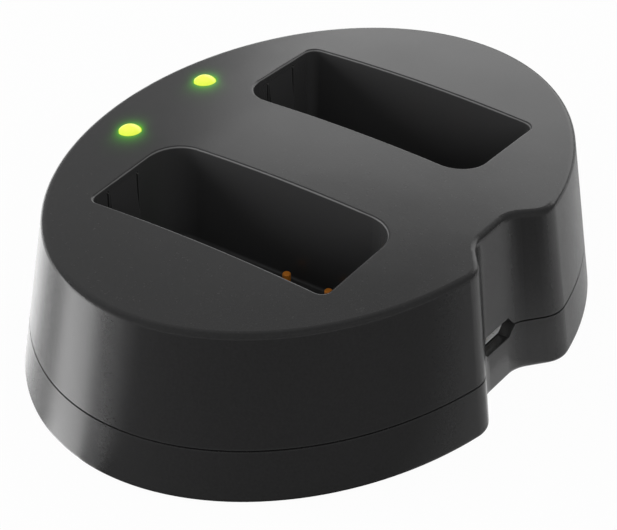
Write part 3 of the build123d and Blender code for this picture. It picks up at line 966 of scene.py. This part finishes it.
@dataclass(frozen=True)
class Softbox:
    """A rectangular studio lamp that faces the charger."""

    name: str
    place: tuple[float, float, float]
    width: float
    height: float
    brightness: float
    in_gloss: bool = True
    aim: tuple[float, float, float] = (0.0, 0.0, 0.012)

    def build(self) -> None:
        """Makes the lamp. Its power follows from how bright its face looks."""
        lamp = bpy.data.lights.new(self.name, "AREA")
        lamp.shape = "RECTANGLE"
        lamp.size = self.width
        lamp.size_y = self.height
        lamp.energy = self.brightness * self.width * self.height * math.pi
        made = bpy.data.objects.new(self.name, lamp)
        made.location = self.place
        away = Vector(self.aim) - Vector(self.place)
        made.rotation_euler = away.to_track_quat("-Z", "Y").to_euler()
        made.visible_glossy = self.in_gloss
        bpy.context.scene.collection.objects.link(made)


def start_card_material(name: str) -> tuple[bpy.types.Material, Graph]:
    """Makes an empty material whose light comes only from reflections of it.

    Args:
        name: The material's name.

    Returns:
        The material and its graph.
    """
    material = bpy.data.materials.new(name)
    graph = start_graph(material)
    material.cycles.emission_sampling = "NONE"
    return material, graph


def emit(graph: Graph, level: Input) -> bpy.types.NodeSocket:
    """Adds a shader that shines white.

    Args:
        graph: The material's graph.
        level: How bright it looks.

    Returns:
        The shader.
    """
    inputs = {"Color": opaque(WHITE), "Strength": level}
    return graph.add("ShaderNodeEmission", inputs).outputs["Emission"]


def set_down(
    name: str, shape: bmesh.types.BMesh, material: bpy.types.Material, lift: float
) -> bpy.types.Object:
    """Adds an object round the charger.

    Args:
        name: The object's name.
        shape: Its mesh, which is used up.
        material: Its material.
        lift: Its height above the plane that the feet rest on.

    Returns:
        The object.
    """
    mesh = bpy.data.meshes.new(name)
    shape.to_mesh(mesh)
    shape.free()
    mesh.materials.append(material)
    made = bpy.data.objects.new(name, mesh)
    made.location.z = lift
    bpy.context.scene.collection.objects.link(made)
    return made


def stage_in_gloss(card: bpy.types.Object) -> None:
    """Makes an object a part of the stage that shows only in the charger's gloss.

    Args:
        card: The object.
    """
    card.visible_camera = False
    card.visible_diffuse = False
    card.visible_shadow = False


@dataclass(frozen=True)
class GreyDome:
    """A dim dome round the charger that shows only in its gloss, less dim behind."""

    name: str = "dome_grey"
    radius: float = 1.5
    front_level: float = 0.1
    back_level: float = 0.38
    back_way: tuple[float, float, float] = (-0.64, -0.58, 0.5)
    back_turns: Range = (0.3, 0.9)
    segments: int = 64

    def build(self) -> None:
        """Makes the dome."""
        shape = bmesh.new()
        bmesh.ops.create_uvsphere(
            shape, u_segments=self.segments, v_segments=self.segments // 2, radius=self.radius
        )
        stage_in_gloss(set_down(self.name, shape, self.build_material(), 0.0))

    def build_material(self) -> bpy.types.Material:
        """Makes the dome's face.

        Returns:
            The material.
        """
        material, graph = start_card_material(self.name)
        way = graph.vector("NORMALIZE", graph.place())
        behind = graph.vector("DOT_PRODUCT", way, self.back_way)
        level = graph.span(behind, self.back_turns, (self.front_level, self.back_level))
        graph.add("ShaderNodeOutputMaterial", {"Surface": emit(graph, level)})
        return material


@dataclass(frozen=True)
class FloorCard:
    """A card on the floor round the charger that shows only in its gloss, as a wedge with soft sides.

    Its turn is the way that the wedge points, in degrees from +X, and its spread holds the angles
    from there at which it starts to fade and is gone.
    """

    name: str
    lift: float
    turn: float
    spread: tuple[float, float]
    level: float
    corner: tuple[float, float] = (39.3 * MM, 0.0)
    hole: tuple[float, float] = (43 * MM, 33 * MM)
    reach: float = 0.5
    steps: int = 96

    def build(self) -> None:
        """Makes the card."""
        shape = bmesh.new()
        turns = [2 * math.pi * step / self.steps for step in range(self.steps)]
        inner, outer = (
            [shape.verts.new((half_x * math.cos(t), half_y * math.sin(t), 0.0)) for t in turns]
            for half_x, half_y in (self.hole, (self.reach, self.reach))
        )
        for here in range(self.steps):
            after = (here + 1) % self.steps
            shape.faces.new((inner[here], outer[here], outer[after], inner[after]))
        stage_in_gloss(set_down(self.name, shape, self.build_material(), self.lift))

    def build_material(self) -> bpy.types.Material:
        """Makes the card's face, which fades out to both sides of the way that the card points.

        Returns:
            The material.
        """
        material, graph = start_card_material(self.name)
        away = graph.vector("SUBTRACT", graph.place(), (*self.corner, 0.0))
        turn = math.radians(self.turn)
        points = (math.cos(turn), math.sin(turn), 0.0)
        toward = graph.vector("DOT_PRODUCT", graph.vector("NORMALIZE", away), points)
        full, gone = (math.cos(math.radians(part)) for part in self.spread)
        share = graph.span(toward, (gone, full), kind="SMOOTHSTEP")
        clear = graph.add("ShaderNodeBsdfTransparent").outputs["BSDF"]
        face = graph.mix_shaders(share, clear, emit(graph, self.level))
        graph.add("ShaderNodeOutputMaterial", {"Surface": face})
        return material


@dataclass
class Studio:
    """Floor, cards, lamps, surroundings and camera."""

    floor_radius: float = 2.0
    floor_drop: float = 0.02 * MM
    floor_segments: int = 96
    floor_colour: Colour = (0.55, 0.55, 0.55)
    white_share: float = 0.97
    ambient_level: float = 0.62
    dome: GreyDome = GreyDome()
    lens: float = 134.587
    clip_start: float = 0.01
    camera_place: tuple[float, float, float] = (0.2085, 0.143842, 0.179239)
    camera_right: tuple[float, float, float] = (-0.575407, 0.817816, 0.009132)
    camera_up: tuple[float, float, float] = (-0.454738, -0.32919, 0.827555)
    camera_back: tuple[float, float, float] = (0.679794, 0.472028, 0.56131)
    softboxes: tuple[Softbox, ...] = (
        Softbox("softbox_behind", (-0.634, -0.096, 0.281), 0.77, 0.39, 1.22),
        Softbox("softbox_left", (0.4, -0.573, 0.16), 0.5, 0.32, 11.5, in_gloss=False),
        Softbox("softbox_right", (0.207, 0.57, 0.35), 0.5, 0.3, 3.2, in_gloss=False),
    )
    cards: tuple[FloorCard, ...] = (
        FloorCard("card_grey", 0.01 * MM, 165.0, (50.0, 75.0), 0.58),
        FloorCard("card_black", 0.02 * MM, 50.0, (63.0, 90.0), 0.04),
        FloorCard("card_strip", 0.03 * MM, -65.0, (3.0, 21.0), 3.4),
        FloorCard("card_edge", 0.04 * MM, -126.0, (12.0, 31.0), 1.75),
    )

    def build(self) -> None:
        """Builds the whole studio."""
        bpy.context.scene.view_settings.view_transform = "Standard"
        self.build_floor()
        self.dome.build()
        for card in self.cards:
            card.build()
        self.build_surroundings()
        for softbox in self.softboxes:
            softbox.build()
        self.build_camera()

    @staticmethod
    def seen_directly(graph: Graph) -> bpy.types.NodeSocket:
        """Tells rays that show the background from those that light the charger.

        Args:
            graph: The graph that asks.

        Returns:
            1 for camera, glossy and transmission rays, and 0 for the others.
        """
        path = graph.add("ShaderNodeLightPath").outputs
        shiny = graph.math("MAXIMUM", path["Is Glossy Ray"], path["Is Transmission Ray"])
        return graph.math("MAXIMUM", path["Is Camera Ray"], shiny)

    def build_floor(self) -> None:
        """Makes a round white floor that keeps a faint shadow and can be looked through from below."""
        material = bpy.data.materials.new("floor_white")
        graph = start_graph(material)
        colour = {"Color": opaque(self.floor_colour)}
        matte = graph.add("ShaderNodeBsdfDiffuse", colour).outputs["BSDF"]
        clear = graph.add("ShaderNodeBsdfTransparent").outputs["BSDF"]
        share = graph.math("MULTIPLY", self.seen_directly(graph), self.white_share)
        under = graph.add("ShaderNodeNewGeometry").outputs["Backfacing"]
        shown = graph.mix_shaders(share, matte, emit(graph, 1.0))
        graph.add("ShaderNodeOutputMaterial", {"Surface": graph.mix_shaders(under, shown, clear)})
        shape = bmesh.new()
        bmesh.ops.create_circle(
            shape, cap_ends=True, segments=self.floor_segments, radius=self.floor_radius
        )
        floor = set_down("floor", shape, material, -self.floor_drop)

    def build_surroundings(self) -> None:
        """Makes surroundings that look white and give an even soft light."""
        world = bpy.data.worlds.new("studio")
        bpy.context.scene.world = world
        graph = start_graph(world)
        level = graph.span(self.seen_directly(graph), (0.0, 1.0), (self.ambient_level, 1.0))
        sky = graph.add("ShaderNodeBackground", {"Color": opaque(WHITE), "Strength": level})
        graph.add("ShaderNodeOutputWorld", {"Surface": sky.outputs["Background"]})

    def build_camera(self) -> None:
        """Sets the camera at the photograph's place."""
        data = bpy.data.cameras.new("camera")
        data.lens = self.lens
        data.clip_start = self.clip_start
        camera = bpy.data.objects.new("camera", data)
        axes = Matrix((self.camera_right, self.camera_up, self.camera_back)).transposed()
        camera.matrix_world = Matrix.Translation(self.camera_place) @ axes.to_4x4()
        bpy.context.scene.collection.objects.link(camera)
        bpy.context.scene.camera = camera


def main() -> None:
    """Loads the frame, dresses each sub-assembly in turn and sets up the studio."""
    logging.basicConfig(level=logging.INFO, format="%(name)s: %(message)s")
    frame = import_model()
    effects = Effects()
    for assembly in (Shells(), Lamps(), SpringContacts(), PowerInlet(), Electronics(), Underside()):
        for piece in assembly.dress(frame["nodes"], effects):
            LOG.info("%s wears %s", piece.name, piece.data.materials[0].name)
    Studio().build()


if __name__ == "__main__":
    main()
